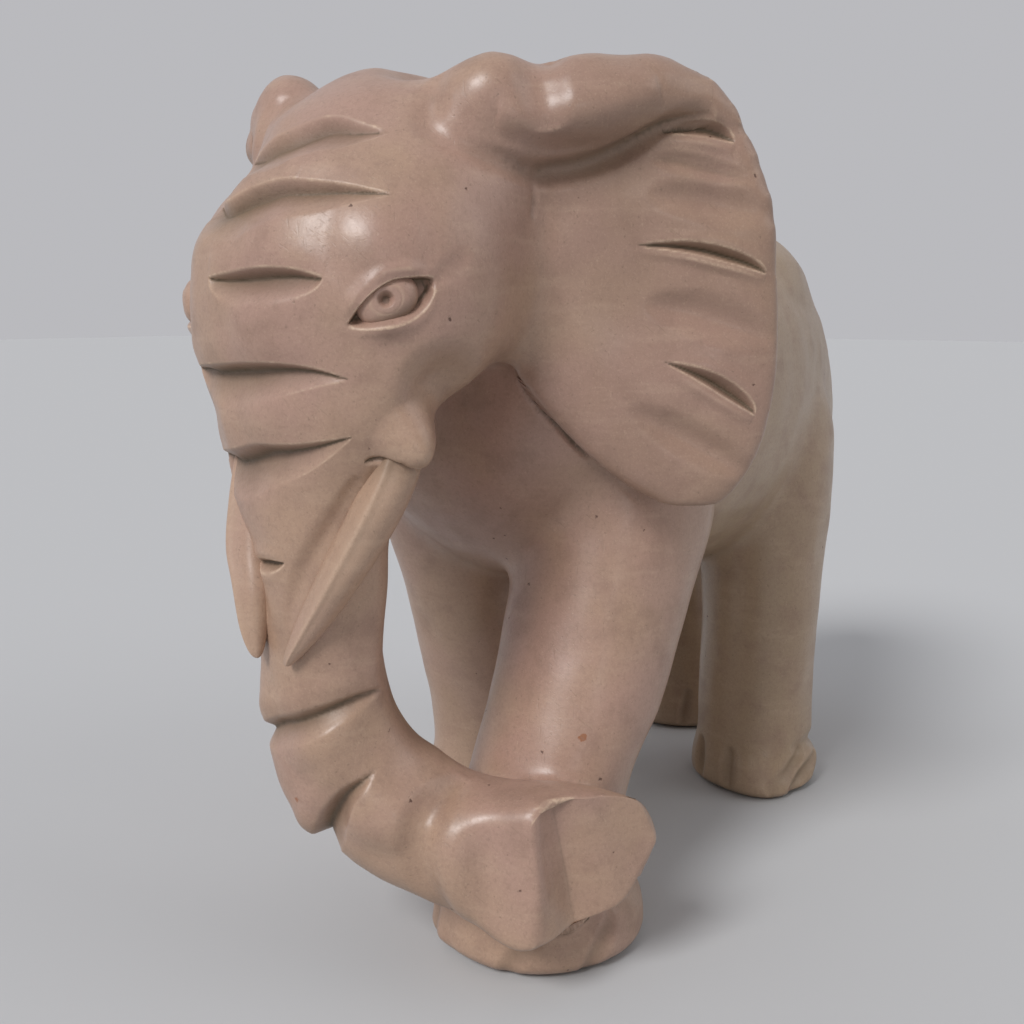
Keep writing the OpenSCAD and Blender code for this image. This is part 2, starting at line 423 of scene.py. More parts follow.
# fat taken off or left on all over: place, reach along x, y and z, height
TRIM = [
    ([34, 50, 45], [16, 26, 80], -2.3),
    ([27, 31, 3], [14, 9, 10], 1.3),
    ([34, -34, 26], [12, 14, 16], -1.4),
    ([-32, -16, 28], [12, 16, 34], 1.1),
    ([-16, -81, 130], [15, 14, 15], -3.2),
    ([-21, -85, 114], [10, 10, 12], -1.2),
    ([-20, -84, 97], [9, 9, 9], -1.0),
    ([-22, -81, 90], [8, 9, 9], -1.2),
    ([8, -58, 148], [8, 12, 8], -2.4),
    ([-20, -60, 148], [9, 12, 8], 2.4),
    ([28, -56, 148], [9, 9, 9], -1.4),
    ([47, -40, 147], [10, 10, 10], -2.0),
    ([38, -48, 149], [10, 9, 8], -0.8),
    ([54, -31, 128], [10, 10, 15], 1.1),
    ([20, 44, 121], [18, 30, 14], 2.7),
    ([26, 68, 92], [16, 26, 20], -2.0),
    ([9, -68, 53], [9, 9, 22], -2.6),
    ([-4, -81, 30], [12, 9, 16], 2.1),
    ([-8, -83, 46], [8, 8, 9], 0.9),
    ([9, -75, 20], [11, 9, 9], 0.8),
    ([31, 54, 74], [10, 14, 12], -0.9),
    ([33, 46, 2], [7, 7, 6], -0.9),
    ([28, 31, 1], [9, 7, 6], 0.9),
    ([6, -66, 45], [8, 7, 13], -0.8),
    ([-27, -67, 138], [7, 8, 9], -1.0),
    ([10, -61, 2], [6, 6, 5], 0.8),
    ([50, -34, 142.5], [6, 6, 5], -0.9),
    ([51, -33, 135.5], [6, 6, 6], 0.9),
    ([-19, -73, 133], [8, 8, 7], -0.9),
    ([-15, -86, 92], [8, 7, 10], -1.4),
    ([-24, -65, 142], [7, 7, 8], -0.8),
    ([43, -50, 34], [7, 7, 7], -1.0),
    ([46, -49, 23], [6, 6, 6], 0.9),
    ([1, -79, 26], [7, 7, 7], 0.8),
]


def take_off_fat(stone):
    for centre, reach, high in TRIM:
        stone.puff(centre, reach, high)


def carve_brow(stone):
    for centre, radius, high, way in PUFFS:
        stone.puff(centre, radius, high, way)
    for side in (same, across):
        high = 5.6 if side is same else 1.2
        stone.puff(side([21.4, -76.6, 90.6]), 7.6, high, side([0.85, -0.3, -0.5]))
        stone.puff(side([24.5, -75, 99]), 8, -2.6)
    stone.settle()
    for route, wide, deep, full, skew, steep in BROW_CUTS:
        stone.gouge(route, wide, deep, full=full, skew=skew, steep=steep)


def carve_face(stone):
    """Lips over the tusks, folds by the eyes and the valleys beside the tusks."""
    lip = [[16.6, -83, 88.2], [18.4, -82, 88.4], [20.6, -80.2, 87.8], [23, -78, 86.4], [24.8, -74.5, 85.4]]
    fold = [[26, -78.6, 113.2], [27.4, -76, 115.6], [28.5, -73, 117.6]]
    valley = [[15.4, -83, 86], [12.6, -84, 81], [9, -85, 75.6], [5.6, -86.3, 69.5], [2.6, -86.6, 62]]
    for route in both(lip):
        stone.groove(route, 2.4, 1.3, full=0.5)
    for route in both(fold):
        stone.groove(route, 4.5, 0.4, soft=True)
    for route in both(valley):
        stone.groove(route, 5, 0.7, soft=True)


def carve_trunk(stone):
    stone.gouge([[-11, -74, 42], [-7.5, -81, 43.2], [-3.8, -84.2, 45.4], [2.9, -85.2, 48],
                 [6.7, -83.8, 49.6], [10.2, -79.4, 51.1], [12, -74.7, 51.3]], 4.6, 2.2, lip=0.5)
    stone.gouge([[-10, -72, 18], [-5, -77, 20.5], [0.2, -80.2, 25], [4.4, -82.2, 30.6], [8.4, -82, 35.4],
                 [12.8, -78.2, 39]], 5.4, 2.8, up=(-0.7, 0, 0.7), lip=0.5)
    stone.groove([[20.5, -66, 34.5], [20.6, -74, 32.8], [20.2, -76.6, 29], [20.4, -76.6, 23],
                  [21.5, -74, 17.5], [22, -70, 14]], 9, 1.7, soft=True)


def carve_ears(stone):
    for side in (same, across):

        def groove(route, *sizes, **settings):
            stone.groove([side(p) for p in route], *sizes, **settings)

        for route, wide, deep in FLUTES:
            groove(route, wide, deep, soft=True, full=1)
        stone.puff(side([38.5, -45, 111]), 17, -1.3)
        # the waist between the root of the roll and the rest of it
        waist = [[29, -55, 147], [31.1, -60.5, 144.4], [32.2, -61.3, 140.5], [32.6, -60, 136]]
        groove(waist, 10, 1.3, soft=True, full=0.4)
        stone.puff(side([26, -67, 139.5]), 8, 1.0)
        # the roll hangs over the hollow under it
        belly = [[27, -65.5, 137.4], [32, -60, 137.2], [38, -53.5, 139.4], [43, -47.5, 141.6]]
        groove(belly, 11, -1.7, soft=True)
        under = [[22.5, -69, 133], [24.5, -65, 131.4], [26.4, -58, 130.6], [30.5, -52, 131.4],
                 [36, -47.5, 134], [42, -43.5, 138], [47, -38.5, 139.6]]
        # painted shade in the hollow under the roll
        groove(under, 7, 1.8, soft=True, full=0.5, hollow_shade=0.5)
        root = [[17.4, -64, 142.5], [18, -68, 139.5], [18.9, -71, 136.5], [21, -71, 134.3],
                [23.6, -68, 132.4]]
        groove(root, 7, 1.0, soft=True)
        # the nick where roll, ear and head meet
        groove([[26, -57.5, 130.6], [27.2, -57.6, 126.9], [28, -58, 123.5]], 1.8, 0.9)
        # the crisp line where the ear lies on the shoulder
        edge = [[19, -53, 101.5], [21, -51.5, 97], [25, -48.2, 91.5], [29.5, -42.5, 84.6],
                [34, -37.5, 79.5], [39, -33.5, 76.4], [43, -31, 76]]
        groove(edge, 2, 1.2, full=0.3)
        stone.rub(along([side(p) for p in root + under[:3]], 3.5), 8)
        rim = [[50.5, -33.5, 139], [53, -31.5, 132], [56, -29.5, 122], [57, -29, 110],
               [56.5, -29.5, 98]]
        stone.rub(along([side(p) for p in rim], 5), 9)
    stone.settle()
    for side in (same, across):
        for route, wide, deep in EAR_CUTS:
            route = [side(p) for p in route]
            stone.gouge(route, wide, deep, up=(0, 0, -1), lip=0.45, steep=0.35, skew=1.5, full=0.6)


TIP = [40, -62, 24]


def carve_tip(stone):
    """The slanting end of the trunk: a flat heart with a valley beside its ridge."""
    stone.puff([34, -73, 12], 8, 1.3)
    face = [0.905, -0.423, 0.051]
    stone.shave([37.2, -68.5, 24], face, TIP, 20, 0.3)
    stone.puff([36.3, -69.5, 21], [5, 5, 11], 0.9, [0.5, -0.87, 0])
    stone.settle()
    valley = [[37.6, -65.4, 40], [38.4, -64.5, 34], [39.4, -63.2, 27], [40.3, -61.9, 19],
              [41.3, -60.8, 10], [42, -60.2, 4]]
    stone.groove(valley, 15, 2.2, soft=True, full=0.6, member="trunk", facing=face)
    stone.groove(valley, 9, 0.9, full=0.8, sharp=1.2, member="trunk", facing=face)
    stone.settle()
    for point, face, soft in [
        ([41.5, -60.4, 14.9], [0.42, 0.05, -0.9], 1.0),
        ([45.3, -51.7, 20.6], [0.75, 0.45, -0.48], 1.2),
        ([45.8, -49.3, 30.2], [0.6, 0.5, 0.6], 1.4),
        ([38, -54, 35], [0.1, 0.2, 1], 3),
        ([36.9, -68.8, 28], [0.3, -0.95, 0.08], 1.6),
    ]:
        stone.shave(point, face, TIP, 20, soft)
    stone.rub([(TIP, 16)], 6)


# the middle of each foot and its radius
FEET = [(20, -45, 17.5), (-21.5, -2, 16.8), (19.6, 43, 14.1), (-16.5, 70, 14.1)]
# the toe grooves of a left foot: bearing and height of their upper and lower ends
FORE_TOES = [
    ((-48, 11), (-74, 0.5)), ((-132, 11), (-122, 0.5)),
    ((-8, 10), (-30, 0.5)), ((-176, 10), (-168, 0.5)),
]
HIND_TOES = [
    ((-10, 10.5), (-56, 2)), ((12, 8), (-37, 1.5)),
    ((-90, 11), (-86, 1)), ((-128, 11), (-122, 1)),
]


def carve_feet(stone):
    """Rounded soles, the grooves between the toes and a waist at each ankle."""
    for x, y, r in FEET:
        hind = r < 15
        side = 1 if x > 0 else -1

        def around_the_foot(route):
            """Places on the foot's side from bearings and heights."""
            turned = [(math.radians(a if x > 0 else 180 - a), z) for a, z in route]
            return [[x + r * math.cos(a), y + r * math.sin(a), z] for a, z in turned]

        for (a, high), (b, low) in HIND_TOES if hind else FORE_TOES:
            toe = [(a + (b - a) * t, high + (low - high) * t) for t in (0, 0.25, 0.5, 0.75, 1)]
            # painted shade in the grooves between the toes
            stone.groove(around_the_foot(toe), 5, 1.2 if hind else 0.8, soft=True, hollow_shade=0.4)
        ankle = [(a, 11 if a < 10 else 10) for a in range(-30, 100, 18)]
        stone.groove(around_the_foot(ankle), 6, 1.1 if hind else 0.6, soft=True)
        if hind:
            stone.puff([x + side * r * 0.98, y + 2, 5.5], 7, 0.9)
            stone.puff([x + side * r * 0.3, y - r * 0.95, 5], 6, 0.5)
        sole = 3.2 if y < 0 else 2.2
        mine = stone.around([x - r - 3, y - r - 3, -2], [x + r + 3, y + r + 3, sole])
        at = stone.at[mine]
        z = np.clip(at[:, 2], 0, sole)
        pull = 1 - (sole - np.sqrt(sole**2 - (sole - z) ** 2)) / r
        at[:, 0] = x + (at[:, 0] - x) * pull
        at[:, 1] = y + (at[:, 1] - y) * pull
        stone.at[mine] = at
    stone.at[:, 2] = np.maximum(stone.at[:, 2], 0)


# the almond of an eye: middle, direction to its rear corner, direction outwards
EYE_AT = np.array([21.85, -82.35, 110.6])
EYE_ALONG = unit([9.3, 9.3, 6.8])
EYE_FACE = unit(np.cross(np.cross(EYE_ALONG, [0.695, -0.719, 0]), EYE_ALONG))
EYE_UP = np.cross(EYE_FACE, EYE_ALONG)
EYE_HALF = 7.4


def carve_eye(stone, side):
    """A hollow with a steep upper lid and a broad bevelled lower lid."""
    centre, along, face, up = [np.array(side(v)) for v in (EYE_AT, EYE_ALONG, EYE_FACE, EYE_UP)]
    mine = stone.around(centre - 11, centre + 11)
    away = stone.at[mine] - centre
    s = (away @ along / EYE_HALF + 1) / 2
    q = away @ up
    within = (s > 0) & (s < 1)
    s = np.clip(s, 0, 1)
    back = s**1.2
    upper = 2.95 * (4 * back * (1 - back)) ** 0.8 - 0.3 * smoothstep(0.6, 0.85, s) * (1 - s) * 5
    back = s**1.3
    lower = 3.4 * (4 * back * (1 - back)) ** 0.85
    hollow = np.minimum(smoothstep(0, 0.4, upper - q), smoothstep(0, 2.0, q + lower)) * within
    tame = smoothstep(0, 0.2, s) * smoothstep(0, 0.2, 1 - s)
    brow = np.exp(-(((q - upper - 1.2) / 1.1) ** 2)) * tame
    lid = np.exp(-(((q + lower + 0.5) / 0.7) ** 2)) * tame
    front = smoothstep(0, 0.3, stone.out[mine] @ face)
    brow_high = 0.5 if side is not across else 0.1
    hollow *= smoothstep(0, 0.15, s) * smoothstep(0, 0.15, 1 - s)
    stone.push(mine, (brow_high * brow + 0.15 * lid - 2.1 * hollow) * front, face)
    # painted shade in the hollow, darkest under the upper lid
    stone.hollow_shade[mine] = np.maximum(stone.hollow_shade[mine], hollow * smoothstep(-0.5, 1.5, q) * front)


def wobble(stone, high=0.05):
    """The slight unevenness that files and sandpaper leave."""
    rng = np.random.default_rng(7)
    total = np.zeros(len(stone.at))
    for _ in range(26):
        way = unit(rng.normal(size=3)) * 2 * math.pi / rng.uniform(7, 20)
        total += np.sin(stone.at @ way + rng.uniform(0, 6.28))
    everyone = np.arange(len(stone.at))
    stone.push(everyone, total * high / 3)


def along(route, radius, every=3.0):
    """Places strung along a route, to refine the stone round them."""
    route = np.array(route, float)
    places = []
    for a, b in zip(route[:-1], route[1:]):
        for t in np.arange(0, 1, every / max(np.linalg.norm(b - a), every)):
            places.append((a + t * (b - a), radius))
    return places + [(route[-1], radius)]


def split_faces(block, chosen):
    edit(block)
    bpy.ops.mesh.select_all(action="DESELECT")
    done()
    block.data.polygons.foreach_set("select", chosen)
    edit(block)
    bpy.ops.mesh.subdivide(number_cuts=1, smoothness=0)
    done()


def faces_near(block, places):
    centre = np.empty(len(block.data.polygons) * 3)
    block.data.polygons.foreach_get("center", centre)
    centre = centre.reshape(-1, 3) / MM
    near = np.zeros(len(centre), bool)
    for place, radius in places:
        near |= ((centre - np.array(place, float)) ** 2).sum(1) < radius * radius
    return near


def points_near(block, places):
    at = points_of(block.data) / MM
    near = np.zeros(len(at), bool)
    for place, radius in places:
        near |= ((at - np.array(place, float)) ** 2).sum(1) < radius * radius
    return near.astype(float)


def refine(block):
    """Finer faces where there is more to carve: face, ears, trunk and feet, finer still
    along the cuts and finest round the eyes."""
    owner = np.empty(len(block.data.polygons), np.int32)
    block.data.polygons.foreach_get("material_index", owner)
    names = np.array(BLOCK)[owner]
    detailed = np.char.startswith(names, "ear") | (names == "head") | (names == "trunk")
    detailed |= np.char.find(names, "foot") >= 0
    # the back of the head stays coarser, and the ends of the brow cuts do not reach it
    detailed &= (names != "head") | faces_near(block, [([0, -95, 112], 33)])
    edge = [[19, -53, 101.5], [25, -48, 91.5], [34, -37.5, 79.5], [39, -33.5, 76.4]]
    rims = along(edge, 5) + along([across(p) for p in edge], 5)
    split_faces(block, detailed | faces_near(block, rims))
    soften(block, np.ones(len(block.data.vertices)), 3)
    fine = [(TIP, 17)]
    for route, wide, *_ in BROW_CUTS:
        fine += along(route, 0.5 * wide + 1.1)
    for route, wide, _ in EAR_CUTS:
        fine += along(route, wide + 1.2) + along([across(p) for p in route], wide + 1.2)
    fine += [([19, -80, 88], 6), ([-19, -80, 88], 6)]
    eyes = [(EYE_AT, 8.5), (across(EYE_AT), 8.5)]
    split_faces(block, faces_near(block, fine + eyes))
    soften(block, points_near(block, fine + eyes), 3)
    eyes = [(EYE_AT, 6.5), (across(EYE_AT), 6.5)]
    split_faces(block, faces_near(block, eyes))
    soften(block, points_near(block, eyes), 3)


def carve(block):
    stone = Stone(block)
    stone.push(np.arange(len(stone.at)), np.full(len(stone.at), -TAKEN_BACK))
    wobble(stone)
    stone.settle()
    take_off_fat(stone)
    stone.settle()
    carve_brow(stone)
    carve_face(stone)
    carve_trunk(stone)
    carve_ears(stone)
    stone.settle()
    carve_tip(stone)
    carve_feet(stone)
    for side in (same, across):
        carve_eye(stone, side)
    stone.settle()
    return stone


def curvature(block, stone):
    """How sharply each point stands out, per millimetre; negative in creases."""
    mesh = block.data
    edge = np.empty(len(mesh.edges) * 2, np.int64)
    mesh.edges.foreach_get("vertices", edge)
    a, b = edge.reshape(-1, 2).T
    count = np.bincount(edge, minlength=len(stone.at)).astype(float)

    def gather(value_a, value_b):
        return np.bincount(a, value_b, len(count)) + np.bincount(b, value_a, len(count))

    step = stone.at[b] - stone.at[a]
    out = stone.out
    rise = gather(-(step * out[b]).sum(1), (step * out[a]).sum(1)) / count
    square = gather((step**2).sum(1), (step**2).sum(1)) / count
    bend = -2 * rise / square
    for _ in range(2):
        bend = 0.5 * bend + 0.5 * gather(bend[a], bend[b]) / count
    return bend


# ---- the members ----


def closed_piece(name, at, out, marks, loops):
    """A piece from some of the block's faces, its open rims closed inside the stone."""
    corner, start, count = loops
    used, new = np.unique(corner, return_inverse=True)
    points = at[used]
    last = start + count - 1
    following = np.arange(1, len(corner) + 1)
    following[last] = start
    a, b = new, new[following]
    size = len(used)
    rim = ~np.isin(a * size + b, b * size + a)
    rims = list(zip(a[rim].tolist(), b[rim].tolist()))
    group = {}

    def top(v):
        while group.setdefault(v, v) != v:
            group[v] = group[group[v]]
            v = group[v]
        return v

    for v, w in rims:
        group[top(v)] = top(w)
    circles = {}
    for v, w in rims:
        circles.setdefault(top(v), []).append((v, w))
    caps, middles = [], []
    for circle in circles.values():
        middles.append(points[[v for v, _ in circle]].mean(0))
        caps += [(w, v, size + len(middles) - 1) for v, w in circle]
    skin = [new[s : s + c].tolist() for s, c in zip(start, count)]
    mesh = bpy.data.meshes.new(name)
    mesh.from_pydata(points.tolist() + [m.tolist() for m in middles], [], skin + caps)
    mesh.shade_smooth()
    mesh.update()
    normals = out[used][new].tolist()
    for poly in list(mesh.polygons)[len(skin) :]:
        normals += [poly.normal[:]] * 3
    mesh.normals_split_custom_set(normals)
    for mark, values in marks.items():
        layer = mesh.attributes.new(mark, "FLOAT", "POINT")
        layer.data.foreach_set("value", np.append(values[used], np.zeros(len(middles))))
    return new_piece(name, mesh)


def split(block, marks):
    """Each member as its own closed piece, cut from the carved block."""
    mesh = block.data
    at, out = points_of(mesh), normals_of(mesh)
    corner, start = corners(mesh)
    count = np.diff(np.append(start, len(corner)))
    owner = np.empty(len(start), np.int32)
    mesh.polygons.foreach_get("material_index", owner)
    pieces = {}
    for i, n in enumerate(BLOCK):
        mine = owner == i
        loops = corner[np.repeat(mine, count)]
        sizes = count[mine]
        starts = np.cumsum(sizes) - sizes
        pieces[n] = closed_piece(n + ".stone", at, out, marks, (loops, starts, sizes))
    return pieces


# height, x, y, half width and half depth of a left tusk, from its root to its tip
TUSK = [
    (93.5, 18.2, -76.0, 3.0, 3.0),
    (90, 18.3, -77.0, 3.8, 3.6),
    (86, 17.8, -78.4, 4.2, 4.0),
    (81, 16.2, -80.0, 4.4, 4.1),
    (76, 14.1, -81.7, 4.3, 3.9),
    (71, 11.7, -83.3, 4.0, 3.6),
    (66, 9.1, -84.8, 3.4, 3.1),
    (61, 6.2, -86.1, 2.5, 2.3),
    (57.5, 4.0, -87.0, 1.4, 1.4),
    (56, 3.2, -87.3, 0.5, 0.5),
]
TURN = math.radians(22)  # the ridge of a tusk looks this far out from the front


def tusk(name, side):
    """A tusk lofted downwards ring by ring, with a ridge along its front."""
    z, x, y, wide, deep = TUSK[0]
    bpy.ops.mesh.primitive_circle_add(vertices=24, radius=MM, location=(0, 0, 0))
    piece = bpy.context.object
    piece.name = name
    edit(piece, "EDGE")
    bpy.ops.mesh.select_all(action="SELECT")
    bpy.ops.mesh.edge_face_add()
    bpy.ops.mesh.select_all(action="SELECT")
    bpy.ops.transform.resize(value=(wide, deep, 1))
    bpy.ops.transform.translate(value=Vector((x, y, z)) * MM)
    for row in TUSK[1:]:
        step = Vector((row[1] - x, row[2] - y, row[0] - z)) * MM
        bpy.ops.mesh.extrude_region_move(TRANSFORM_OT_translate={"value": step})
        bpy.ops.transform.resize(
            value=(row[3] / wide, row[4] / deep, 1), center_override=Vector((row[1], row[2], row[0])) * MM
        )
        z, x, y, wide, deep = row
    bpy.ops.mesh.select_all(action="SELECT")
    bpy.ops.mesh.normals_make_consistent(inside=False)
    done()
    finish_with(piece, "SUBSURF", levels=3, render_levels=3)
    at = points_of(piece.data) / MM
    heights = np.array([r[0] for r in TUSK])[::-1]
    middle = [np.interp(at[:, 2], heights, np.array([r[k] for r in TUSK])[::-1]) for k in (1, 2, 3)]
    dx, dy = at[:, 0] - middle[0], at[:, 1] - middle[1]
    angle = np.arctan2(dx, -dy) - TURN
    angle = (angle + math.pi) % (2 * math.pi) - math.pi
    ridge = 0.12 * np.exp(-((angle / 0.2) ** 2)) - 0.1 * np.exp(-(((angle + 0.7) / 0.4) ** 2))
    ridge += 0.03 * np.sin(at[:, 2] * 0.55) * np.exp(-(((angle - 0.7) / 0.6) ** 2))
    at[:, 0] += dx * ridge
    at[:, 1] += dy * ridge
    # lighter along the front ridge towards the tip, partly wear and partly a painted highlight; darker
    # towards the root under the lip, painted shade
    wear_and_highlight = np.exp(-((angle / 0.35) ** 2)) * smoothstep(92, 80, at[:, 2])
    painted_shade = 0.6 * smoothstep(84, 90, at[:, 2])
    at[:, 0] *= side
    if side < 0:
        # the right one lies closer to the trunk
        at[:, 0] += 3.3 * smoothstep(54, 70, at[:, 2]) + 3.2 * smoothstep(70, 86, at[:, 2]) - 0.7
    piece.data.vertices.foreach_set("co", (at * MM).ravel())
    if side < 0:
        edit(piece)
        bpy.ops.mesh.select_all(action="SELECT")
        bpy.ops.mesh.flip_normals()
        done()
    piece.data.update()
    piece.data.shade_smooth()
    mark(piece, 0.35 * wear_and_highlight, painted_shade)
    return piece


def eyeball(name, side):
    """A flattened ball with an iris facet and a drilled pupil."""
    bpy.ops.mesh.primitive_uv_sphere_add(segments=96, ring_count=96, radius=MM, location=(0, 0, 0))
    piece = bpy.context.object
    piece.name = name
    edit(piece)
    bpy.ops.mesh.select_all(action="SELECT")
    bpy.ops.transform.resize(value=(4.6, 3.6, 2.7))
    done()
    at = points_of(piece.data) / MM
    r = np.hypot(at[:, 0] / 1.1, at[:, 1])
    front = at[:, 2] > 0
    iris = np.minimum(at[:, 2], 2.32 + 0.05 * at[:, 1])
    at[:, 2] = np.where(front & (r < 2.1), iris, at[:, 2])
    at[:, 2] -= 0.08 * front * smoothstep(1.75, 1.95, r) * (1 - smoothstep(2.1, 3.2, r))
    hole = np.hypot(at[:, 0] + 0.1, at[:, 1] - 0.1)
    at[:, 2] -= 1.6 * front * np.clip(1 - hole / 1.25, 0, 0.85)
    drilled = front * np.clip(1 - hole / 1.25, 0, 1)
    low = smoothstep(0.8, 3.2, -at[:, 1])
    ring = np.exp(-(((r - 2.15) / 0.25) ** 2)) * front
    middle = EYE_AT - 0.75 * EYE_FACE + 0.9 * EYE_UP - 0.2 * EYE_ALONG
    at = at[:, :1] * EYE_ALONG + at[:, 1:2] * EYE_UP + at[:, 2:] * EYE_FACE + middle
    at[:, 0] *= side
    piece.data.vertices.foreach_set("co", (at * MM).ravel())
    edit(piece)
    bpy.ops.mesh.select_all(action="SELECT")
    bpy.ops.mesh.normals_make_consistent(inside=False)
    done()
    piece.data.shade_smooth()
    # painted shade in the upper half of the drilled pupil and on the lower part of the ball, where it
    # turns under; the ring at the iris's edge is lighter with wear
    upper = at @ EYE_UP > middle @ EYE_UP
    mark(piece, 0.3 * ring, np.clip(0.9 * drilled**0.6 * upper + 0.8 * low, 0, 1))
    return piece


def mark(piece, wear_and_highlight, painted_shade):
    """Notes on each point how much wear and painted highlight it has and how much painted shade it gets.
    """
    for name, values in (("wear_and_highlight", wear_and_highlight), ("painted_shade", painted_shade)):
        layer = piece.data.attributes.new(name, "FLOAT", "POINT")
        layer.data.foreach_set("value", values.astype(np.float32))


def hand_over(piece, node):
    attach(piece, "root")
    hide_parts(node)


block = rough_block()
near = nearness([Vector(p) for p in points_of(block.data)])
label(block, near)
soften_junctions(block, near)
refine(block)
stone = carve(block)
bend = curvature(block, stone)
# painted shade: darker where the stone looks down, in creases and in the hollows of cuts, grooves and
# eyes; edges that stand out are lighter with wear
under = smoothstep(0.0, -0.9, stone.out[:, 2])
marks = {
    "wear_and_highlight": smoothstep(0.25, 1.1, bend),
    "painted_shade": np.maximum(smoothstep(0.12, 1.0, -bend), 0.9 * stone.hollow_shade) + 0.28 * under,
}
pieces = split(block, marks)
bpy.data.objects.remove(block)
for n, piece in pieces.items():
    hand_over(piece, n)
for name, side in (("left", 1), ("right", -1)):
    pieces["tusk_" + name] = tusk(f"tusk_{name}.stone", side)
    pieces["eye_" + name] = eyeball(f"eye_{name}.stone", side)
    hand_over(pieces["tusk_" + name], "tusk_" + name)
    hand_over(pieces["eye_" + name], "eye_" + name)


# ---- the stone's look ----


class Wire:
    """A value in a material, for which Python's own sums make the nodes."""

    def __init__(self, tree, socket):
        self.tree, self.socket = tree, socket

    def node(self, kind, settings=None, inputs=None, out=0):
        """A new node of some kind; inputs are wires or plain values."""
        made = self.tree.nodes.new(kind)
        for name, value in (settings or {}).items():
            setattr(made, name, value)
        for place, value in (inputs or {}).items():
            if isinstance(value, Wire):
                self.tree.links.new(value.socket, made.inputs[place])
            else:
                made.inputs[place].default_value = value
        return Wire(self.tree, made.outputs[out])

    def sum(self, operation, *others, clamp=False):
        values = dict(enumerate((self,) + others))
        return self.node("ShaderNodeMath", {"operation": operation, "use_clamp": clamp}, values)

    def __add__(self, other):
        return self.sum("ADD", other)

    def __sub__(self, other):
        return self.sum("SUBTRACT", other)

    def __mul__(self, other):
        return self.sum("MULTIPLY", other)

    def __truediv__(self, other):
        return self.sum("DIVIDE", other)

    def __pow__(self, other):
        return self.sum("POWER", other)

    def __rsub__(self, other):
        return self * -1 + other

    def __rtruediv__(self, other):
        return self**-1 * other

    __radd__, __rmul__ = __add__, __mul__

    def between(self, low, high):
        """0 up to low, 1 from high on, easing in between; the other way if high is lower."""
        eased = {"interpolation_type": "SMOOTHSTEP"}
        if low < high:
            return self.node("ShaderNodeMapRange", eased, {0: self, 1: low, 2: high})
        return 1 - self.node("ShaderNodeMapRange", eased, {0: self, 1: high, 2: low})

    def paint(self, colour, amount, how="MIX"):
        """This colour with another laid over it."""
        settings = {"data_type": "RGBA", "blend_type": how, "clamp_factor": True}
        if not isinstance(colour, Wire):
            colour = (*colour, 1)
        return self.node("ShaderNodeMix", settings, {0: amount, 6: self, 7: colour}, out=2)

    def stretched(self, x, y, z):
        return self.node("ShaderNodeVectorMath", {"operation": "MULTIPLY"}, {0: self, 1: (x, y, z)})

    def shifted(self, x, y, z):
        return self.node("ShaderNodeVectorMath", {"operation": "ADD"}, {0: self, 1: (x, y, z)})

    def noise(self, size, detail=3.0, rough=0.5):
        """Soft noise with lumps of about size millimetres."""
        inputs = {"Vector": self, "Scale": 1 / size, "Detail": detail, "Roughness": rough}
        return self.node("ShaderNodeTexNoise", None, inputs)

    def cells(self, size, out="Distance"):
        """Scattered spots about size millimetres apart."""
        return self.node("ShaderNodeTexVoronoi", None, {"Vector": self, "Scale": 1 / size}, out)


def linear(r, g, b):
    """A colour as a painter reads it, 0 to 255, for the shader."""
    return tuple(((c / 255 + 0.055) / 1.055) ** 2.4 for c in (r, g, b))


ROSE = linear(177, 143, 128)
TAN = linear(177, 146, 124)
OLIVE = linear(168, 146, 118)
UMBER = linear(146, 117, 102)
CREAM = linear(214, 186, 160)
SHADOW = linear(96, 82, 62)
PIT = linear(88, 60, 48)
RUST = linear(150, 92, 52)


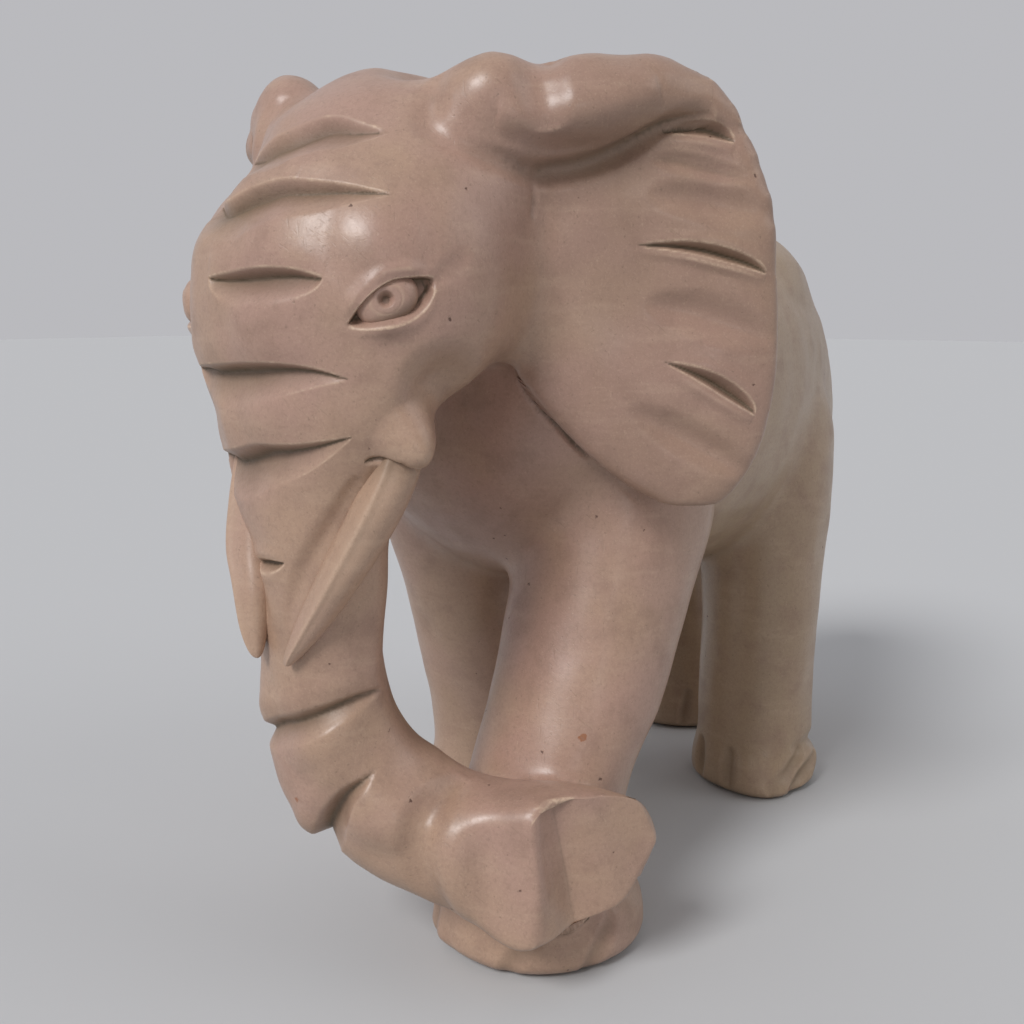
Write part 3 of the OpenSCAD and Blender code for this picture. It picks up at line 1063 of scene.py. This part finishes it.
def soapstone(name, worn_all_over=0.0, rough=0.38):
    """Polished pink-brown soapstone: clouds, fine grain, pits, a few rust spots, hairline
    scratches and cream worn edges, with painted shade in creases, hollows and undersides and on
    the ears, an olive tint of shade painted on the rear, and a painted highlight on the tusks' ridges."""
    material = bpy.data.materials.new(name)
    material.use_nodes = True
    tree = material.node_tree
    shader = tree.nodes["Principled BSDF"]
    start = Wire(tree, None)
    metres = start.node("ShaderNodeTexCoord", out="Object")
    mm = metres.stretched(1 / MM, 1 / MM, 1 / MM)
    wear_and_highlight = start.node("ShaderNodeAttribute", {"attribute_name": "wear_and_highlight"}, out="Fac")
    painted_shade = start.node("ShaderNodeAttribute", {"attribute_name": "painted_shade"}, out="Fac")

    clouds = mm.noise(26, 3, 0.55)
    patches = mm.shifted(40, 7, 3).noise(7, 4, 0.6)
    grain = mm.noise(0.7, 3, 0.7)
    chisel = mm.stretched(1, 1, 2.6).noise(1.6, 3, 0.7)
    dust = mm.shifted(5, 50, 9).noise(0.3, 2, 0.6)
    bands = mm.stretched(0.25, 0.25, 1.3).shifted(3, 3, 60).noise(3.2, 3, 0.6)

    # spots: pits everywhere, flecks smaller and denser, rust only here and there
    ragged = mm.node(
        "ShaderNodeVectorMath", {"operation": "ADD"},
        {0: mm, 1: mm.node("ShaderNodeTexNoise", None, {"Vector": mm, "Scale": 1.6}, out="Color")},
    )
    pit = ragged.cells(4.6).between(0.07, 0.035) * ragged.cells(4.6, "Color").sum("GREATER_THAN", 0.6)
    fleck = ragged.shifted(9, 2, 30).cells(1.2).between(0.16, 0.07)
    fleck = fleck * ragged.shifted(9, 2, 30).cells(1.2, "Color").sum("GREATER_THAN", 0.5)
    spot = ragged.shifted(31, 11, 4).cells(17)
    chosen = ragged.shifted(31, 11, 4).cells(17, "Color").sum("GREATER_THAN", 0.6)
    rust = spot.between(0.05, 0.03) * chosen
    rust_heart = spot.between(0.024, 0.012) * chosen

    # scratches: short straight needles of stretched noise, lying three ways
    scratch = []
    for turn in ((0.3, 0.5, 0.9), (1.3, 0.2, 2.4), (0.6, 1.8, 0.3)):
        turned = mm.node("ShaderNodeVectorRotate", {"rotation_type": "EULER_XYZ"}, {0: mm, 4: turn})
        scratch.append(turned.stretched(0.1, 1, 1).noise(0.42, 1, 0.5).between(0.66, 0.78))
    light_scratch = scratch[0]
    dark_scratch = scratch[1].sum("MAXIMUM", scratch[2])
    place = {k: mm.node("ShaderNodeSeparateXYZ", None, {0: mm}, out=i) for i, k in enumerate("xyz")}
    ears = place["x"].sum("ABSOLUTE").between(24, 36) * place["z"].between(66, 84)
    rear = place["y"].between(-45, 15)

    colour = start.node("ShaderNodeRGB")
    colour.socket.default_value = (*ROSE, 1)
    colour = colour.paint(TAN, clouds.between(0.35, 0.65))
    # an olive tint of the shade painted on the rear of the body
    colour = colour.paint(OLIVE, 0.75 * rear)
    # painted shade on the ears
    colour = colour.paint(UMBER, 0.45 * ears * (1 - rear))
    colour = colour.paint(UMBER, 0.5 * patches.between(0.45, 0.75))
    colour = colour.paint(CREAM, 0.14 * bands.between(0.5, 0.75))
    colour = colour.paint(UMBER, 0.3 * grain.between(0.45, 0.7))
    colour = colour.paint(CREAM, 0.16 * dust.between(0.5, 0.75))
    colour = colour.paint(SHADOW, 0.3 * fleck)
    colour = colour.paint(CREAM, 0.16 * light_scratch)
    colour = colour.paint(SHADOW, 0.13 * dark_scratch)
    # cream where the stone is worn on its edges and, on the handled pieces, in patches; along the tusks'
    # ridges also a painted highlight
    broken = wear_and_highlight * (0.35 + 0.9 * grain.between(0.35, 0.65))
    broken = broken + worn_all_over * patches.between(0.4, 0.6)
    colour = colour.paint(CREAM, 0.75 * broken.sum("MINIMUM", 1.0))
    # painted shade
    colour = colour.paint(SHADOW, 0.8 * painted_shade)
    colour = colour.paint(RUST, 0.8 * rust)
    colour = colour.paint(UMBER, 0.8 * rust_heart)
    colour = colour.paint(PIT, 0.85 * pit)
    tree.links.new(colour.socket, shader.inputs["Base Color"])

    # the painted-shade mask also leaves those places duller
    dull = rough + 0.16 * (patches - 0.5) + 0.1 * (grain - 0.5) + 0.2 * painted_shade + 0.12 * wear_and_highlight + 0.2 * pit
    tree.links.new((dull + 0.15 * light_scratch).socket, shader.inputs["Roughness"])
    polish = patches.between(0.75, 0.45) * (1 - painted_shade) * (1 - 0.6 * wear_and_highlight)
    tree.links.new((0.15 * polish).socket, shader.inputs["Coat Weight"])
    shader.inputs["Coat Roughness"].default_value = 0.25
    shader.inputs["IOR"].default_value = 1.5

    height = 0.3 * grain + 0.12 * dust + 0.3 * patches - 0.15 * light_scratch - 0.15 * dark_scratch
    height = height - 0.5 * pit - 0.15 * fleck + 1.8 * painted_shade * chisel
    bump = start.node("ShaderNodeBump", None, {"Strength": 0.6, "Distance": 0.16 * MM, "Height": height})
    tree.links.new(bump.socket, shader.inputs["Normal"])
    return material


polished = soapstone("soapstone")
handled = soapstone("soapstone worn", worn_all_over=0.15, rough=0.44)
for n, piece in pieces.items():
    piece.data.materials.clear()
    piece.data.materials.append(handled if n.startswith(("tusk", "eye")) else polished)

# ---- floor, light and camera ----

bpy.ops.mesh.primitive_plane_add(size=8, location=(0, 0, 0))
floor = bpy.context.object
floor.name = "floor"
paint = bpy.data.materials.new("floor paint")
paint.use_nodes = True
shader = paint.node_tree.nodes["Principled BSDF"]
shader.inputs["Base Color"].default_value = (0.595, 0.6, 0.61, 1)
shader.inputs["Roughness"].default_value = 1
shader.inputs["Specular IOR Level"].default_value = 0
floor.data.materials.append(paint)


def soft_sun(name, turn, rise, strength, spread):
    """A big soft light, turn degrees round from the elephant's front, rise degrees up."""
    lamp = bpy.data.objects.new(name, bpy.data.lights.new(name, "SUN"))
    bpy.context.scene.collection.objects.link(lamp)
    lamp.data.energy = strength
    lamp.data.angle = math.radians(spread)
    a, e = math.radians(turn), math.radians(rise)
    way = Vector((math.sin(a) * math.cos(e), -math.cos(a) * math.cos(e), math.sin(e)))
    lamp.rotation_euler = way.to_track_quat("Z", "Y").to_euler()


soft_sun("key", 2, 40, 1.85, 20)
soft_sun("side", 115, 30, 0.35, 40)
soft_sun("front", 50, 8, 0.12, 6)
world = bpy.data.worlds.new("room")
bpy.context.scene.world = world
world.use_nodes = True
sky = Wire(world.node_tree, None)
way = sky.node("ShaderNodeTexCoord", out="Generated")
dark_side = way.node(
    "ShaderNodeVectorMath", {"operation": "DOT_PRODUCT"}, {0: way, 1: (0.94, -0.34, 0.0)}, out=1
)
wall = sky.node("ShaderNodeRGB")
wall.socket.default_value = (0.49, 0.49, 0.512, 1)
wall = wall.paint((0.22, 0.22, 0.22), dark_side.between(0.05, 0.75))
world.node_tree.links.new(wall.socket, world.node_tree.nodes["Background"].inputs["Color"])
world.node_tree.nodes["Background"].inputs["Strength"].default_value = 1
bpy.context.scene.view_settings.view_transform = "Standard"

camera = bpy.data.objects.new("camera", bpy.data.cameras.new("camera"))
bpy.context.scene.collection.objects.link(camera)
bpy.context.scene.camera = camera
camera.data.lens = 40.43
camera.data.clip_start = 0.01
camera.location = Vector((134.8, -199.7, 110)) * MM
camera.rotation_euler = (math.radians(80), 0, math.radians(38))
